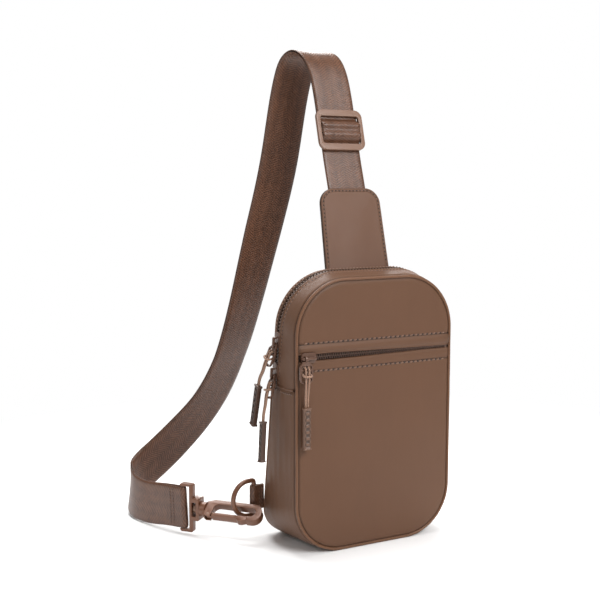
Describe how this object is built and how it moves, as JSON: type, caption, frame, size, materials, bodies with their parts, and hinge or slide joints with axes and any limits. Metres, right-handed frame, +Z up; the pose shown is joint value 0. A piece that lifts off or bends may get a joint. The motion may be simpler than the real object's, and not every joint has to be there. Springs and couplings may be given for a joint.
{
  "type": "sling bag",
  "caption": "Upright sling bag with a wrap-round two-slider main zip, a front zip pocket, and a webbing strap with a tri-glide that clips to a side D-ring by a swivel hook.",
  "frame": {"origin": "on the floor, midway between the bag's front and back faces at its foot", "axes": "+Z up, +X to the right along the front panel, +Y from the front panel towards the back panel"},
  "size_m": [0.245, 0.2139, 0.4328],
  "materials": {
    "shell_fabric": "coated ripstop weave, satin",
    "seam_fabric": "turned seam edge",
    "lining_fabric": "plain lining",
    "foam": "back padding",
    "zip_tape": "woven zip tape",
    "zip_teeth": "moulded coil",
    "zip_metal": "lacquered die-cast",
    "pull_cord": "braided cord",
    "pull_grip": "moulded rubbery grip",
    "pocket_grip": "moulded rubbery grip",
    "strap_web": "herringbone webbing",
    "patch_fabric": "coated ripstop weave, satin",
    "buckle_plastic": "moulded acetal",
    "hook_metal": "satin lacquer",
    "pin_steel": "satin"
  },
  "bodies": {
    "bag": {"lower_gusset": "shell_fabric", "upper_gusset_front": "shell_fabric", "upper_gusset_back": "shell_fabric", "front_seam_edge": "seam_fabric", "back_seam_edge": "seam_fabric", "front_panel_lower": "shell_fabric", "front_panel_upper": "shell_fabric", "pocket_welt": "shell_fabric", "back_panel": "shell_fabric", "back_foam": "foam", "pocket_lining": "lining_fabric", "main_lining": "lining_fabric", "main_zip_tapes": "zip_tape", "main_zip_teeth": "zip_teeth", "main_zip_stops": "zip_metal", "pocket_zip_tapes": "zip_tape", "pocket_zip_teeth": "zip_teeth", "pocket_zip_stops": "zip_metal", "patch_front": "patch_fabric", "patch_back": "patch_fabric", "strap_webbing": "strap_web", "strap_return": "strap_web", "strap_hook_loop": "strap_web", "ring_tab": "strap_web"},
    "adjuster": {"glide_frame": "buckle_plastic", "glide_wrap": "strap_web", "return_end": "strap_web"},
    "d_ring": {"d_ring": "hook_metal"},
    "hook_frame": {"hook_frame": "hook_metal"},
    "hook": {"hook_body": "hook_metal", "swivel_rivet": "pin_steel", "gate_pin": "pin_steel", "gate_spring": "pin_steel"},
    "gate": {"gate": "hook_metal"},
    "upper_slider": {"upper_slider": "zip_metal"},
    "upper_tab": {"upper_pull_tab": "zip_metal"},
    "upper_grip": {"upper_pull_cord": "pull_cord", "upper_pull_grip": "pull_grip"},
    "lower_slider": {"lower_slider": "zip_metal"},
    "lower_tab": {"lower_pull_tab": "zip_metal"},
    "lower_grip": {"lower_pull_cord": "pull_cord", "lower_pull_grip": "pull_grip"},
    "pocket_slider": {"pocket_slider": "zip_metal"},
    "pocket_tab": {"pocket_pull_tab": "zip_metal"},
    "pocket_grip": {"pocket_pull_cord": "pull_cord", "pocket_pull_grip": "pocket_grip"}
  },
  "joints": [
    {"name": "upper_slider_travel", "type": "slide", "parent": "bag", "child": "upper_slider", "axis": [0, -0.1461, 0.9893], "range_m": [-0.004, 0.0025]},
    {"name": "lower_slider_travel", "type": "slide", "parent": "bag", "child": "lower_slider", "axis": [0, -0.1461, 0.9893], "range_m": [-0.0025, 0.004]},
    {"name": "pocket_slider_travel", "type": "slide", "parent": "bag", "child": "pocket_slider", "axis": [1, 0, 0], "range_m": [0, 0.125]},
    {"name": "upper_tab_swing", "type": "hinge", "parent": "upper_slider", "child": "upper_tab", "pos_m": [-0.0811, -0.00232, 0.17824], "axis": [0, 0.9416, 0.3367], "range_deg": [0, 90]},
    {"name": "upper_grip_swing", "type": "hinge", "parent": "upper_tab", "child": "upper_grip", "pos_m": [-0.08321, 0.00069, 0.1698], "axis": [0, 0.9416, 0.3367], "range_deg": [0, 30]},
    {"name": "lower_tab_swing", "type": "hinge", "parent": "lower_slider", "child": "lower_tab", "pos_m": [-0.0811, 0.00167, 0.15124], "axis": [0, 0.989, -0.1476], "range_deg": [0, 50]},
    {"name": "lower_grip_swing", "type": "hinge", "parent": "lower_tab", "child": "lower_grip", "pos_m": [-0.08385, 0.00037, 0.14255], "axis": [0, 0.989, -0.1476], "range_deg": [0, 30]},
    {"name": "pocket_tab_swing", "type": "hinge", "parent": "pocket_slider", "child": "pocket_tab", "pos_m": [-0.0708, -0.03845, 0.17], "axis": [-1, 0, 0], "range_deg": [0, 90]},
    {"name": "pocket_grip_swing", "type": "hinge", "parent": "pocket_tab", "child": "pocket_grip", "pos_m": [-0.0708, -0.03852, 0.1608], "axis": [-1, 0, 0], "range_deg": [0, 30]},
    {"name": "adjuster_slide", "type": "slide", "parent": "bag", "child": "adjuster", "axis": [0, 0.2735, 0.9619], "range_m": [-0.012, 0.014]},
    {"name": "d_ring_swing", "type": "hinge", "parent": "bag", "child": "d_ring", "pos_m": [-0.087, 0.03, 0.037], "axis": [0, 0, 1], "range_deg": [-2, 6]},
    {"name": "hook_sway", "type": "hinge", "parent": "bag", "child": "hook_frame", "pos_m": [-0.139, 0.0668, 0.0255], "axis": [0, 0, 1], "range_deg": [-1.44, 0.48]},
    {"name": "hook_swivel", "type": "hinge", "parent": "hook_frame", "child": "hook", "pos_m": [-0.139, 0.0668, 0.0255], "axis": [0.6665, -0.7455, 0], "range_deg": [-4, 8]},
    {"name": "gate_hinge", "type": "hinge", "parent": "hook", "child": "gate", "pos_m": [-0.12514, 0.04298, 0.0223], "axis": [-0.3727, -0.3333, 0.866], "range_deg": [0, 4], "stiffness_Nm_per_rad": 0.02, "springref_deg": -11.46}
  ],
  "couplings": [
    {"joint": "hook_sway", "follows": "d_ring_swing", "ratio": -0.24}
  ]
}
